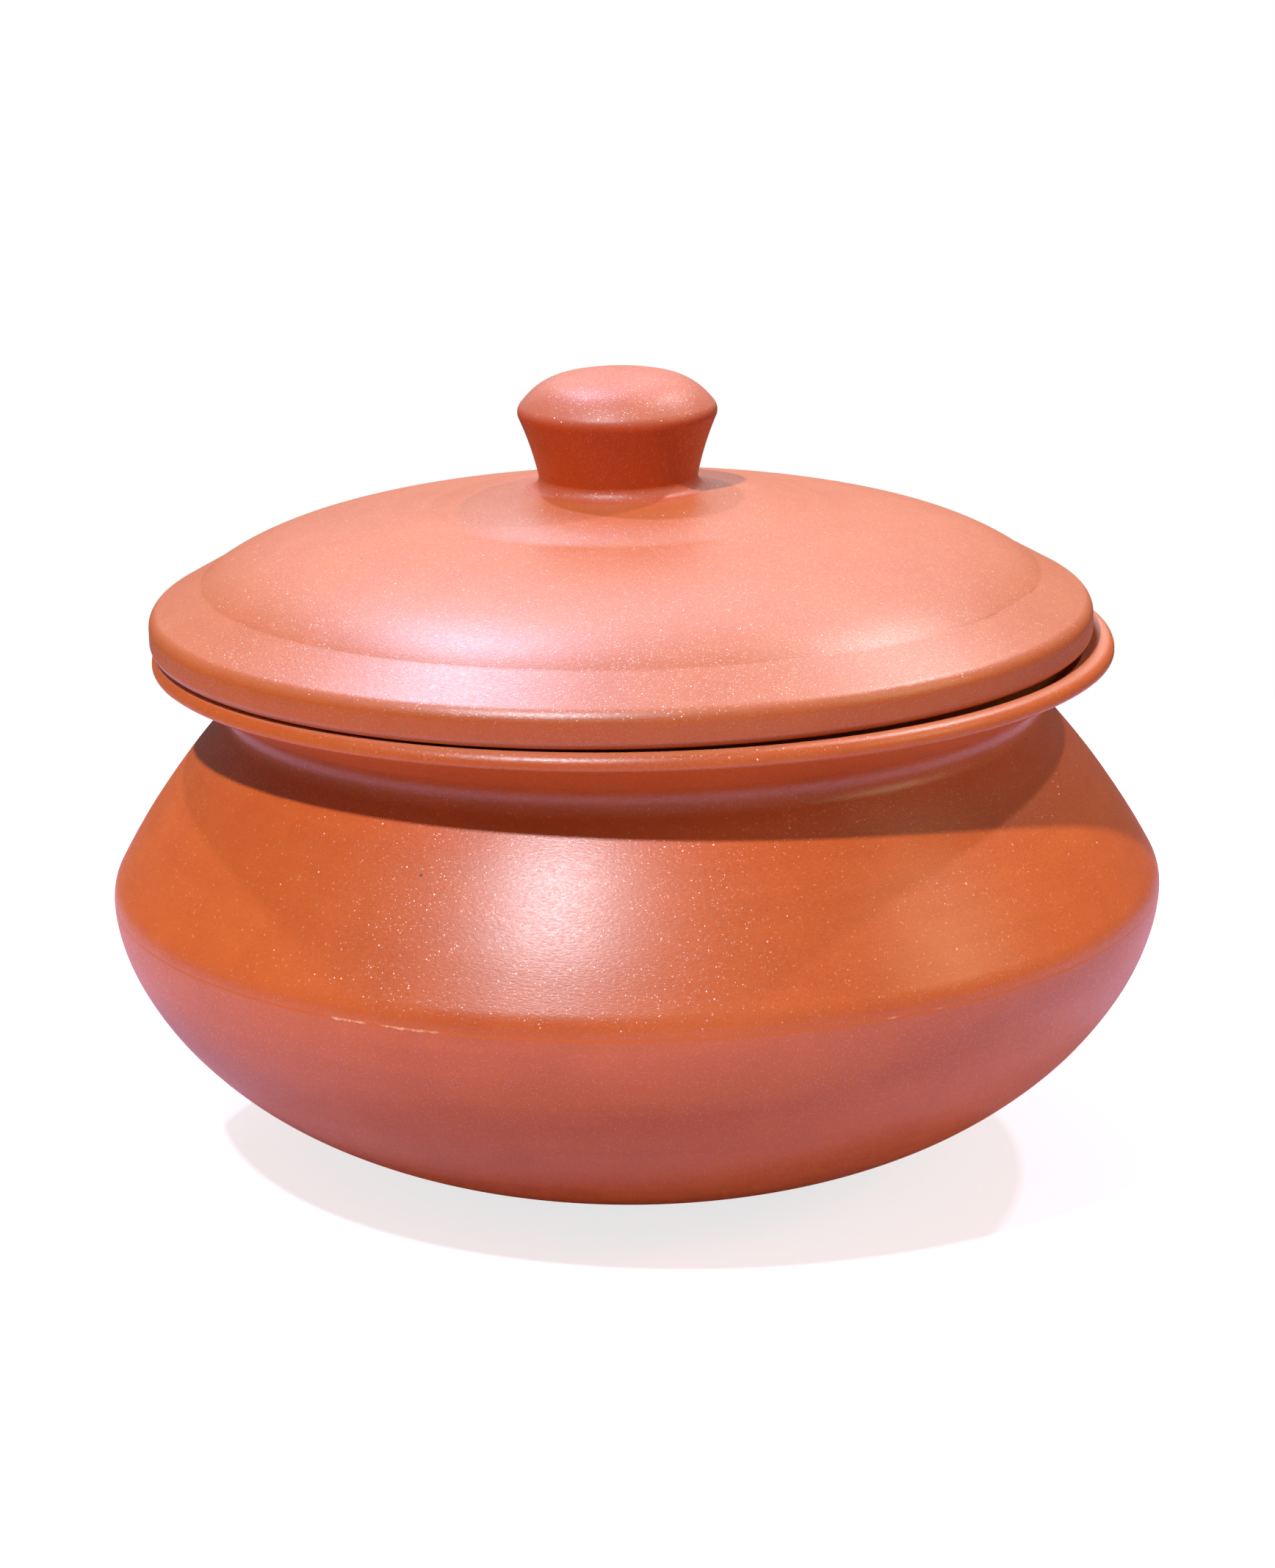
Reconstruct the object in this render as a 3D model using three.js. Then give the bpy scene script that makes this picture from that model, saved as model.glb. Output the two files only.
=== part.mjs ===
// Unglazed clay cooking pot for biryani: a round bowl and a leaning shoulder joined by a seam of
// luting slip at the widest ring, an everted rim with a seat for the lid inside it, and a loose
// domed lid whose knob is luted on with slip.
// Millimetres, +Z up. The flat of the base stands on z = 0 and the pot's axis is x = y = 0.
import * as THREE from "three";

// Bowl
const BELLY_RADIUS = 132.3; // outside of the widest ring
const BOWL_DEPTH = 69.7; // base to seam
const BASE_FLAT_RADIUS = 40; // flat that the pot stands on
const BOWL_SIDE_POWER = 2.5; // fullness of the section towards the side
const BOWL_FLOOR_POWER = 1.7; // fullness of the section towards the floor
const WALL = 7; // bowl, shoulder and neck
const FLOOR = 8; // clay under the middle of the bowl

// Seam of slip between bowl and shoulder
const SEAM_THICKNESS = 0.6;
const SEAM_BEAD = 0.3; // how far the wiped bead stands out of the wall

// Shoulder and neck
const BELLY_ROUND = 11.6; // rounding just above the seam
const SHOULDER_FOOT_LEAN = 28.5; // degrees from upright where that rounding ends
const SHOULDER_BOW = 195; // radius of the shoulder's slight outward bow
const NECK_RADIUS = 102.7; // outside of the narrowest ring
const NECK_ROUND = 5; // hollow round between shoulder and rim

// Everted rim and the lid seat inside it
const FLARE_SLOPE = 28; // degrees above level of the rim's underside
const LIP_WIDTH = 12.1; // outer edge of the seat to outside of the lip
const LIP_LOWER_ROUND = 1;
const LIP_FACE = 0.3; // upright band between the two rounds of the lip
const LIP_TOP_ROUND = 2.9;
const SEAT_THICKNESS = 4.3; // clay under the seat's outer edge
const SEAT_BEARING = 2; // least width of lid ring on the seat with the lid pushed aside
const THROAT_ROUND = 4; // inner edge of the seat
const LID_PLAY = 3.2; // room for the lid to shift on its seat, to each side
const FIT_GAP = 0.3; // lid ring to seat, below and at the side it is pushed to

// Lid
const BRIM_INSET = 2.4; // radius of the rim less radius of the brim
const BRIM_GAP = 0.4; // underside of the brim above the crest of the rim
const BRIM_EDGE = 10; // height of the thick edge, before its top is rounded
const BRIM_TOP_ROUND = 4.2;
const BRIM_LOWER_ROUND = 2.2;
const BRIM_SLOPE = 29; // degrees
const CREASE_INSET = 13.3; // edge of the brim to the crease round the dome
const DOME_RISE = 18.65; // crease to the crown of the dome
const DOME_SPREAD = 0.7; // share of that rise which falls off gently
const DOME_EDGE_POWER = 9; // the rest drops close to the crease
const BOSS_RISE = 3.3; // low boss on the dome, round the knob's foot
const BOSS_RADIUS = 48;
const BOSS_POWER = 6; // the boss is nearly level and drops close to its edge
const LID_WALL = 7.5;
const RING_WIDTH = 8; // ring under the lid that stands on the seat
const RING_CHAMFER = 0.8;

// Knob
const KNOB_SLIP = 0.6; // slip under the knob
const KNOB_SLIP_BEAD = 0.3; // slip pressed up round the foot
const SEAT_MARGIN = 0.2; // gap round that slip in the knob's seat
const KNOB_FOOT_EDGE = 0.3; // upright edge of the foot
const KNOB_FOOT_SLOPE = 9; // degrees above level of the foot's skirt
const KNOB_FOOT_SKIRT = 0.8; // width of that skirt
const KNOB_FOOT_HOLLOW = 3; // hollow round between skirt and waist
const KNOB_WAIST_RADIUS = 19.8;
const KNOB_TAPER_HOLLOW = 0.4; // how far the grip's underside is drawn in
const KNOB_RADIUS = 24.8; // at the grip's widest ring
const KNOB_GRIP_HEIGHT = 19.5; // that ring above the foot
const KNOB_GRIP_ROUND = 3.2;
const KNOB_GRIP_TURN = 38; // degrees above level where the bevel leaves that round
const KNOB_BEVEL_REACH = 9; // how far the bevel keeps its way
const KNOB_CROWN_REACH = 13; // how far the nearly flat top reaches out
const KNOB_HEIGHT = 29.3;

// Facets round the axis
const POT_FACETS = 56;
const KNOB_FACETS = 36;

const at = (r, z) => new THREE.Vector2(r, z);
const radians = THREE.MathUtils.degToRad;

// Points on a circle round (r, z). Angles in degrees: 0 points away from the axis and 90 up.
function arc(r, z, radius, from, to, steps) {
  const points = [];
  for (let i = 0; i <= steps; i++) {
    const angle = radians(from + ((to - from) * i) / steps);
    points.push(at(r + radius * Math.cos(angle), z + radius * Math.sin(angle)));
  }
  return points;
}

// A curve from a to b that bows to the right of its way by about the given height.
function bowed(a, b, bow, steps) {
  const way = b.clone().sub(a).normalize();
  const middle = a.clone().add(b).multiplyScalar(0.5);
  middle.add(at(way.y, -way.x).multiplyScalar(2 * bow));
  return new THREE.QuadraticBezierCurve(a, middle, b).getPoints(steps);
}

// A half section, drawn up the outside and back to the axis or to its start, spun round +Z.
function spun(section, facets) {
  return new THREE.LatheGeometry(section, facets).rotateX(Math.PI / 2);
}

function clay(name, geometry, colour, roughness) {
  const material = new THREE.MeshStandardMaterial({ color: colour, roughness, metalness: 0 });
  const mesh = new THREE.Mesh(geometry, material);
  mesh.name = name;
  return mesh;
}

// Bowl: outside and inside are both superellipses, cut flat at the base.
const seamBottom = BOWL_DEPTH;
const seamTop = seamBottom + SEAM_THICKNESS;

// Share of the full depth that the bowl still has below the seam at a share of its radius.
function bowlDepthShare(radiusShare) {
  return Math.pow(1 - Math.pow(radiusShare, BOWL_SIDE_POWER), 1 / BOWL_FLOOR_POWER);
}

// Points from an inner radius out to the seam, close together where the wall turns upright.
function bowlCurve(innerRadius, radius, fullDepth, steps) {
  const start = Math.asin(Math.pow(innerRadius / radius, BOWL_SIDE_POWER / 2));
  const points = [];
  for (let i = 0; i <= steps; i++) {
    const turn = start + ((Math.PI / 2 - start) * i) / steps;
    const share = Math.min(1, Math.pow(Math.sin(turn), 2 / BOWL_SIDE_POWER));
    points.push(at(radius * share, seamBottom - fullDepth * bowlDepthShare(share)));
  }
  return points;
}

function bowlSection() {
  const poleDepth = BOWL_DEPTH / bowlDepthShare(BASE_FLAT_RADIUS / BELLY_RADIUS);
  const outside = bowlCurve(BASE_FLAT_RADIUS, BELLY_RADIUS, poleDepth, 12);
  const inside = bowlCurve(0, BELLY_RADIUS - WALL, BOWL_DEPTH - FLOOR, 10);
  return [at(0, 0), ...outside, ...inside.reverse()];
}

function seamSection() {
  const inner = BELLY_RADIUS - WALL;
  return [
    at(inner, seamBottom),
    at(BELLY_RADIUS, seamBottom),
    at(BELLY_RADIUS + SEAM_BEAD, (seamBottom + seamTop) / 2),
    at(BELLY_RADIUS, seamTop),
    at(inner, seamTop),
    at(inner, seamBottom),
  ];
}

// Shoulder: each round runs smoothly into the next, and the inside keeps the same centres.
const bellyCentre = at(BELLY_RADIUS - BELLY_ROUND, seamTop);
const bowReach = SHOULDER_BOW - BELLY_ROUND;
const bowCentre = at(
  bellyCentre.x - bowReach * Math.cos(radians(SHOULDER_FOOT_LEAN)),
  bellyCentre.y - bowReach * Math.sin(radians(SHOULDER_FOOT_LEAN)),
);
const neckReach = NECK_RADIUS + NECK_ROUND - bowCentre.x;
const neckLean = THREE.MathUtils.radToDeg(Math.acos(neckReach / (SHOULDER_BOW + NECK_ROUND)));
const neckCentre = at(
  NECK_RADIUS + NECK_ROUND,
  bowCentre.y + neckReach * Math.tan(radians(neckLean)),
);

// Rim: its underside leaves the neck at the flare's slope and ends in the rounded lip.
const throatRadius = NECK_RADIUS - WALL;
const seatInnerRadius = throatRadius + THROAT_ROUND;
const seatRadius = seatInnerRadius + 2 * LID_PLAY + SEAT_BEARING;
const rimRadius = seatRadius + LIP_WIDTH;
const flareAngle = 90 + FLARE_SLOPE;
const flareStart = arc(neckCentre.x, neckCentre.y, NECK_ROUND, flareAngle, flareAngle, 1)[0];

// Height of the rim's underside at a radius outside the neck.
function undersideHeight(radius) {
  return flareStart.y + (radius - flareStart.x) * Math.tan(radians(FLARE_SLOPE));
}

const lipLowerCentre = at(
  rimRadius - LIP_LOWER_ROUND,
  undersideHeight(rimRadius - LIP_LOWER_ROUND) + LIP_LOWER_ROUND / Math.cos(radians(FLARE_SLOPE)),
);
const lipTopCentre = at(rimRadius - LIP_TOP_ROUND, lipLowerCentre.y + LIP_FACE);
const crestHeight = lipTopCentre.y + LIP_TOP_ROUND;
const seatHeight = undersideHeight(seatRadius) + SEAT_THICKNESS;

// Angle on the lip's top round where a straight funnel wall from the seat's edge touches it.
function funnelTouch() {
  const back = at(seatRadius, seatHeight).sub(lipTopCentre);
  return THREE.MathUtils.radToDeg(back.angle() - Math.acos(LIP_TOP_ROUND / back.length()));
}

function shoulderSection() {
  const neckFoot = 180 + neckLean;
  const neckBack = NECK_ROUND + WALL;
  return [
    ...arc(bellyCentre.x, bellyCentre.y, BELLY_ROUND, 0, SHOULDER_FOOT_LEAN, 3),
    ...arc(bowCentre.x, bowCentre.y, SHOULDER_BOW, SHOULDER_FOOT_LEAN, neckLean, 6).slice(1),
    ...arc(neckCentre.x, neckCentre.y, NECK_ROUND, neckFoot, flareAngle, 6).slice(1),
    ...arc(lipLowerCentre.x, lipLowerCentre.y, LIP_LOWER_ROUND, FLARE_SLOPE - 90, 0, 2),
    ...arc(lipTopCentre.x, lipTopCentre.y, LIP_TOP_ROUND, 0, funnelTouch(), 6),
    at(seatRadius, seatHeight),
    ...arc(seatInnerRadius, seatHeight - THROAT_ROUND, THROAT_ROUND, 90, 180, 3),
    ...arc(neckCentre.x, neckCentre.y, neckBack, 180, neckFoot, 2),
    ...arc(bowCentre.x, bowCentre.y, SHOULDER_BOW - WALL, neckLean, SHOULDER_FOOT_LEAN, 5).slice(1),
    ...arc(bellyCentre.x, bellyCentre.y, BELLY_ROUND - WALL, SHOULDER_FOOT_LEAN, 0, 2).slice(1),
    at(BELLY_RADIUS, seamTop),
  ];
}

// Lid, in its own frame: z = 0 is the underside of the brim and its axis is x = y = 0.
const brimRadius = rimRadius - BRIM_INSET;
const creaseRadius = brimRadius - CREASE_INSET;
const ringRadius = seatRadius - LID_PLAY;
const ringBottom = seatHeight + FIT_GAP - (crestHeight + BRIM_GAP);
const hollowRadius = ringRadius - RING_WIDTH;
const brimTop = arc(
  brimRadius - BRIM_TOP_ROUND,
  BRIM_EDGE - BRIM_TOP_ROUND,
  BRIM_TOP_ROUND,
  0,
  90 - BRIM_SLOPE,
  4,
);
const brimShoulder = brimTop[brimTop.length - 1];
const creaseHeight =
  brimShoulder.y + (brimShoulder.x - creaseRadius) * Math.tan(radians(BRIM_SLOPE));

// Knob's foot: the skirt's slope runs on over the slip to the edge of the knob's seat in the boss.
const skirtRise = Math.tan(radians(KNOB_FOOT_SLOPE));
const footHollow = arc(
  KNOB_WAIST_RADIUS + KNOB_FOOT_HOLLOW,
  KNOB_FOOT_EDGE + KNOB_FOOT_SKIRT * skirtRise + KNOB_FOOT_HOLLOW * Math.cos(radians(KNOB_FOOT_SLOPE)),
  KNOB_FOOT_HOLLOW,
  270 - KNOB_FOOT_SLOPE,
  180,
  4,
);
const knobFootRadius = footHollow[0].x + KNOB_FOOT_SKIRT;
const knobSlipRadius = knobFootRadius + KNOB_SLIP_BEAD;
const knobSeatRadius = knobSlipRadius + SEAT_MARGIN;
const footEdgeHeight = KNOB_SLIP + KNOB_FOOT_EDGE;
const knobSeatDepth = footEdgeHeight - (KNOB_SLIP_BEAD + SEAT_MARGIN) * skirtRise;

// Rise of the dome above its edge at a share of its radius: a gentle fall and a steep end.
function domeRise(share) {
  const gentle = DOME_SPREAD * Math.pow(share, 2);
  const steep = (1 - DOME_SPREAD) * Math.pow(share, DOME_EDGE_POWER);
  return DOME_RISE * (1 - gentle - steep);
}

// Rise of the boss above the dome at a radius.
function bossRise(radius) {
  const share = Math.min(1, radius / BOSS_RADIUS);
  return BOSS_RISE * Math.pow(1 - Math.pow(share, BOSS_POWER), 1.5);
}

const bossInner = domeRise(knobSeatRadius / creaseRadius) + bossRise(knobSeatRadius);
const knobSeatHeight = creaseHeight + bossInner - knobSeatDepth;

// Points on the dome from one radius to another, closer together towards its edge.
function domeCurve(fromRadius, toRadius, edgeRadius, edgeHeight, steps) {
  const points = [];
  for (let i = 0; i <= steps; i++) {
    const part = Math.sin(((i / steps) * Math.PI) / 2);
    const radius = fromRadius + (toRadius - fromRadius) * part;
    points.push(at(radius, edgeHeight + domeRise(radius / edgeRadius)));
  }
  return points;
}

function lidSection() {
  const hollowEdge = creaseHeight - LID_WALL;
  const hollow = domeCurve(0, hollowRadius, hollowRadius, hollowEdge, 8);
  const dome = domeCurve(BOSS_RADIUS, creaseRadius, creaseRadius, creaseHeight, 7);
  const boss = domeCurve(knobSeatRadius, BOSS_RADIUS, creaseRadius, creaseHeight, 6);
  boss.forEach((point) => point.setY(point.y + bossRise(point.x)));
  const edge = brimRadius - BRIM_LOWER_ROUND;
  return [
    ...hollow,
    at(hollowRadius, ringBottom + RING_CHAMFER),
    at(hollowRadius + RING_CHAMFER, ringBottom),
    at(ringRadius - RING_CHAMFER, ringBottom),
    at(ringRadius, ringBottom + RING_CHAMFER),
    at(ringRadius, 0),
    ...arc(edge, BRIM_LOWER_ROUND, BRIM_LOWER_ROUND, -90, 0, 3),
    ...brimTop,
    ...dome.reverse(),
    ...boss.reverse().slice(1),
    at(knobSeatRadius, knobSeatHeight),
    at(0, knobSeatHeight),
  ];
}

function knobSlipSection() {
  return [
    at(0, 0),
    at(knobSlipRadius, 0),
    at(knobSlipRadius, footEdgeHeight - KNOB_SLIP_BEAD * skirtRise),
    at(knobFootRadius, footEdgeHeight),
    at(knobFootRadius, KNOB_SLIP),
    at(0, KNOB_SLIP),
  ];
}

// Knob, from its foot: hollowed up to the waist, tapered out to the rounded grip, and one smooth
// curve over the bevel and the nearly flat top.
function knobSection() {
  const gripCentre = at(KNOB_RADIUS - KNOB_GRIP_ROUND, KNOB_GRIP_HEIGHT);
  const grip = arc(gripCentre.x, gripCentre.y, KNOB_GRIP_ROUND, -20, KNOB_GRIP_TURN, 4);
  const taper = bowed(footHollow[footHollow.length - 1], grip[0], -KNOB_TAPER_HOLLOW, 4);
  const bevelStart = grip[grip.length - 1];
  const turn = radians(KNOB_GRIP_TURN);
  const bevelWay = at(-Math.sin(turn), Math.cos(turn)).multiplyScalar(KNOB_BEVEL_REACH);
  const top = new THREE.CubicBezierCurve(
    bevelStart,
    bevelStart.clone().add(bevelWay),
    at(KNOB_CROWN_REACH, KNOB_HEIGHT),
    at(0, KNOB_HEIGHT),
  ).getPoints(10);
  return [
    at(0, 0),
    at(knobFootRadius, 0),
    at(knobFootRadius, KNOB_FOOT_EDGE),
    ...footHollow,
    ...taper.slice(1),
    ...grip.slice(1),
    ...top.slice(1),
  ];
}

const pot = new THREE.Group();
pot.add(clay("bowl", spun(bowlSection(), POT_FACETS), 0xc1655a, 0.5));
pot.add(clay("seam_slip", spun(seamSection(), POT_FACETS), 0xb9523a, 0.8));
pot.add(clay("shoulder", spun(shoulderSection(), POT_FACETS), 0xd06a3c, 0.45));

// The lid stands level on its seat, pushed towards -X until only the fit gap is left.
const lid = new THREE.Group();
lid.position.set(FIT_GAP - LID_PLAY, 0, crestHeight + BRIM_GAP);
lid.add(clay("lid_shell", spun(lidSection(), POT_FACETS), 0xd9795c, 0.45));

const knob = new THREE.Group();
knob.position.z = knobSeatHeight;
knob.add(clay("knob_slip", spun(knobSlipSection(), KNOB_FACETS), 0xd9824e, 0.8));

const knobBody = clay("lid_knob", spun(knobSection(), KNOB_FACETS), 0xc9623f, 0.5);
knobBody.position.z = KNOB_SLIP;
knob.add(knobBody);
lid.add(knob);
pot.add(lid);

export default pot;
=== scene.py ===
"""Looks of an unglazed clay biryani pot.

It has a beaten bowl, a thrown shoulder with an everted rim, the seam of slip between them, and a
loose domed lid with a luted knob. Sections are in millimetres, and the meshes are in metres.
"""

import math

import bpy
import numpy as np
from mathutils import Matrix


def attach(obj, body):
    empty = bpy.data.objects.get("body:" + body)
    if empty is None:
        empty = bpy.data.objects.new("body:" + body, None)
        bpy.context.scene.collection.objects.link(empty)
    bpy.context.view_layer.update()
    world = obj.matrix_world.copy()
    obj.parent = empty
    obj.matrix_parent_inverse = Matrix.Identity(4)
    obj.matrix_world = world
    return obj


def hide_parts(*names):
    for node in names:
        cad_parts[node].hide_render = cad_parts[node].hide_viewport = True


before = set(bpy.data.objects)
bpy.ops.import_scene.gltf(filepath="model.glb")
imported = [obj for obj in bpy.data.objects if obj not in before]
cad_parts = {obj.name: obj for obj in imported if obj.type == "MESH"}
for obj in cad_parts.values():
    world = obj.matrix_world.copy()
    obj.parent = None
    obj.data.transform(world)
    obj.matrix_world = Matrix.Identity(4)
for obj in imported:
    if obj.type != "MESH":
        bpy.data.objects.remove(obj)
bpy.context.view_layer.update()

MM = 0.001
REPEATED_POINT = 1e-3
ON_AXIS = 1e-6
SHARP_EDGE = math.radians(40)
WHEEL_TURNS = 288
KNOB_TURNS = 180
KNOB_SLIP_TURNS = 160

# Bowl and seam
BELLY_RADIUS = 132.3
BOWL_DEPTH = 69.7
BASE_FLAT_RADIUS = 40.0
BOWL_SIDE_POWER = 2.5
BOWL_FLOOR_POWER = 1.7
WALL = 7.0
BOWL_FLOOR = 8.0
SEAM_THICKNESS = 0.6
SEAM_BEAD = 0.3

# Shoulder, neck and rim
BELLY_ROUND = 11.6
SHOULDER_FOOT_LEAN = 28.5
SHOULDER_BOW = 195.0
NECK_RADIUS = 102.7
NECK_ROUND = 5.0
FLARE_SLOPE = 28.0
LIP_WIDTH = 12.1
LIP_LOWER_ROUND = 1.0
LIP_FACE = 0.3
LIP_TOP_ROUND = 2.9
SEAT_THICKNESS = 4.3
SEAT_BEARING = 2.0
THROAT_ROUND = 4.0
LID_PLAY = 3.2
FIT_GAP = 0.3

# Lid
BRIM_INSET = 2.4
BRIM_GAP = 0.4
BRIM_EDGE = 10.0
BRIM_TOP_ROUND = 4.2
BRIM_LOWER_ROUND = 2.2
BRIM_SLOPE = 29.0
CREASE_INSET = 13.3
DOME_RISE = 18.65
DOME_SPREAD = 0.7
DOME_EDGE_POWER = 9
BOSS_RISE = 3.3
BOSS_RADIUS = 48.0
BOSS_POWER = 6
BOSS_EDGE_POWER = 1.5
LID_WALL = 7.5
RING_WIDTH = 8.0
RING_CHAMFER = 0.8

# Knob
KNOB_SLIP = 0.6
KNOB_SLIP_BEAD = 0.3
KNOB_SLIP_PLAY = 0.01
SEAT_MARGIN = 0.2
KNOB_FOOT_EDGE = 0.3
KNOB_FOOT_SLOPE = 9.0
KNOB_FOOT_SKIRT = 0.8
KNOB_FOOT_HOLLOW = 3.0
KNOB_WAIST_RADIUS = 19.8
KNOB_TAPER_HOLLOW = 0.4
KNOB_RADIUS = 24.8
KNOB_GRIP_HEIGHT = 19.5
KNOB_GRIP_ROUND = 3.2
KNOB_GRIP_START = -20.0
KNOB_GRIP_TURN = 38.0
KNOB_BEVEL_REACH = 9.0
KNOB_CROWN_REACH = 13.0
KNOB_HEIGHT = 29.3

# Marks of the hand. A swell is (rise, waves round, start, twist for each millimetre of height),
# a ripple is (rise, pitch, lean) and throwing rings are (rise, pitch).
POT_SWELLS = ((0.10, 2, 0.7, 0.0), (0.06, 3, 2.2, 1 / 60))
POT_RIPPLE = (0.02, 2.6, 1.3)
POT_RINGS = (0.14, 8.5)
BASE_FADE = 12.0
SEAM_FADE = 8.0
LID_SWELLS = ((0.05, 2, 1.9, 0.0), (0.04, 3, 0.4, 0.0))
LID_RIPPLE = (0.015, 1.9, 0.8)
LID_RINGS = (0.10, 5.0)
LID_RINGS_FROM = 3.0
WIPED_LEAST = 0.15
WIPED_MORE = 0.75
WIPED_REACH = 6.0
BOSS_CRISP_TURN = 240.0

# Bead of slip along the seam
SEAM_TURNS = 900
SEAM_ACROSS = 18
BEAD_RISE = 0.02
BEAD_WAVE = 0.01
BEAD_WAVE_COUNTS = (7, 3)
BEAD_WAVE_START = 0.6
BEAD_MARGIN = 0.02
CRUMB_PROUD = 0.6
CRUMB_SAG = 0.9
FULL_CRUMB = 0.2

# Crumbs of slip left on the seam: place and spread in degrees round the axis, and height
CRUMBS = (
    (-121.5, 0.55, 0.34),
    (-120.2, 0.40, 0.26),
    (-118.9, 0.50, 0.30),
    (-115.6, 0.70, 0.22),
    (-114.2, 0.45, 0.30),
    (-112.4, 0.80, 0.24),
    (-110.6, 0.40, 0.20),
    (-64.0, 0.50, 0.12),
    (-58.5, 0.35, 0.10),
    (40.0, 0.50, 0.16),
    (97.0, 0.60, 0.20),
    (151.0, 0.50, 0.14),
    (203.0, 0.45, 0.16),
)

# Colours of clay
POT_CLAYS = {
    "deep": (0.54, 0.090, 0.007),
    "body": (0.69, 0.149, 0.019),
    "pale": (0.77, 0.200, 0.040),
}
LID_CLAYS = {
    "deep": (0.52, 0.089, 0.005),
    "body": (0.62, 0.126, 0.006),
    "pale": (0.68, 0.172, 0.020),
}
# The knob's clay: darker and redder than the lid's, a shaded copy that paints in the deep shade on
# the knob's sides
KNOB_SHADED_CLAYS = {
    "deep": (0.50, 0.050, 0.001),
    "body": (0.60, 0.070, 0.002),
    "pale": (0.66, 0.100, 0.006),
}
SLIP_BODY = (0.66, 0.142, 0.014)
SLIP_CRUMB = (0.84, 0.42, 0.25)
GRIT_COLOUR = (0.16, 0.05, 0.03)
# Painted sheen: pale paint laid on upward faces in place of reflected light
PAINTED_SHEEN_COLOUR = (0.80, 0.62, 0.48)
# Mica flakes painted pale into the colour: partly the flakes' own colour, partly painted glints
GLINT_MICA_COLOUR = (1.0, 0.66, 0.40)

# Pattern of the clay: noise is (scale, detail, roughness), and a reach is what is stretched to 0..1
CLOUD_NOISE = (17, 3, 0.5)
BLUSH_NOISE = (75, 4, 0.6)
CLOUD_REACH = (0.3, 0.7)
STROKE_SCALE = (110.0, 110.0, 2200.0)
STROKE_NOISE = (1, 3, 0.6)
STROKE_REACH = (0.25, 0.75)
BAND_SCALE = (1.6, 1.6, 210.0)
BAND_NOISE = (1, 2, 0.5)
BAND_REACH = (0.3, 0.7)
CLOUD_SHARE, BLUSH_SHARE, BAND_SHARE = 0.45, 0.30, 0.25
STREAK_SHARE = 0.22
GRIT_PER_METRE = 320
GRIT_SHARE = 0.006
GRIT_EDGE = (0.08, 0.16)
# Painted sheen: how uneven it lies, the height over which it fades in, and a height below all for
# none cut away
SHEEN_UNEVEN = (0.8, 1.1)
SHEEN_EDGE = 0.006
NO_SHEEN_CUT = -1.0
SLIP_NOISE = (1500, 3, 0.5)
SLIP_REACH = (0.3, 0.55)

# Mica: flakes for each metre, and how far a flake leans off the surface
FLAKE_REACH = 0.32
COARSE_FLECKS = {"Per Metre": 1700, "Tilt": 0.85}
FINE_FLECKS = {"Per Metre": 2700, "Tilt": 0.55}
FINE_TO_COARSE = 2
# Open flakes are painted glints in the colour, most on upward faces: their flakes, and the slants
# and cover between which they show
GLINT_FLAKES = {"Per Metre": 1250, "Share": 0.06}
GLINT_FLAKE_SLANTS = (0.0, 0.5)
GLINT_FLAKE_COVER = (0.06, 0.25)

# Finish of the clay
FLECK_ROUGHNESS = 0.36
FLECK_IOR = 1.85
INSIDE_DULLS_FLECKS = 0.8
INSIDE_ROUGHER = 0.25
STROKE_SMOOTHER, STROKE_ROUGHER = 0.05, 0.07
BLUSH_RELIEF = 0.5
BURNISH_BUMP = {"Strength": 0.5, "Distance": 0.00005}
CLAY_DIFFUSE_ROUGHNESS = 0.4
CLAY_MIRROR_TINT = (0.7, 0.92, 1.0, 1.0)
SLIP_BUMP = {"Strength": 0.4, "Distance": 0.0001}
SLIP_ROUGHNESS = (0.42, 0.75)
SLIP_ROUGH_FROM_CRUMB = 0.5

# Stage, in metres and degrees
FLOOR_RADIUS = 0.5
FLOOR_SIDES = 96
FLOOR_LEVEL = -0.0003
FLOOR_COLOUR = (0.60, 0.46, 0.61, 1)
FLOOR_WHITE_REACH = (0.12, 0.45)
FLOOR_WHITE = (0.76, 1.0)
WORLD_LEVEL = 0.11
MIRRORED_LEVEL = 0.8
MIRRORED_BEHIND = (-0.2, 0.3)
MIRRORED_ABOVE = (0.05, 0.2)
MIRRORED_ASIDE = (0.3, 0.6)
LAMP_AIM = (0, 0, 0.12)
SENSOR_WIDTH = 36
FOCAL_PIXELS = 5811.4
PHOTO_PIXELS_HIGH = 2135
CAMERA_PLACE = (0.00057, -1.0435, 0.38024)
CAMERA_DOWN = 15.355
CAMERA_ROLL = -0.95
CAMERA_REACH = (0.01, 50)

# Lamps: name, azimuth, elevation, distance, size, level and colour
LAMPS = (
    ("front_lamp", -27, 53.7, 6, (0.26, 0.26), 0.90, (1.0, 0.92, 0.98)),
    ("front_fill", 20, 8, 2.0, (2.6, 2.0), 0.07, (1.0, 0.82, 0.65)),
    ("right_lamp", 74, 27, 1.8, (0.5, 0.5), 0.14, (1.0, 0.82, 0.5)),
    ("back_left_lamp", -145.3, 63.1, 6, (0.26, 0.26), 0.54, (0.73, 0.72, 1.0)),
    ("back_right_lamp", 124.2, 52.7, 6, (0.26, 0.26), 0.43, (1.0, 0.84, 0.84)),
    ("back_panel", 180, 52, 2.2, (2.0, 1.4), 0.23, (0.92, 0.86, 1.0)),
)


# Runs of a section: arrays of (distance from the axis, height). The last argument counts points.


def round_run(centre, radius, start, end, count):
    """Circle: centre plus radius times the cosine and sine of evenly spaced angles in degrees."""
    turn = np.radians(np.linspace(start, end, count))
    return np.column_stack([centre[0] + radius * np.cos(turn), centre[1] + radius * np.sin(turn)])


def straight_run(start, end, count):
    """Line: start plus an even share of the way to the end."""
    share = np.linspace(0, 1, count)[:, None]
    return np.array(start, float) * (1 - share) + np.array(end, float) * share


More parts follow.
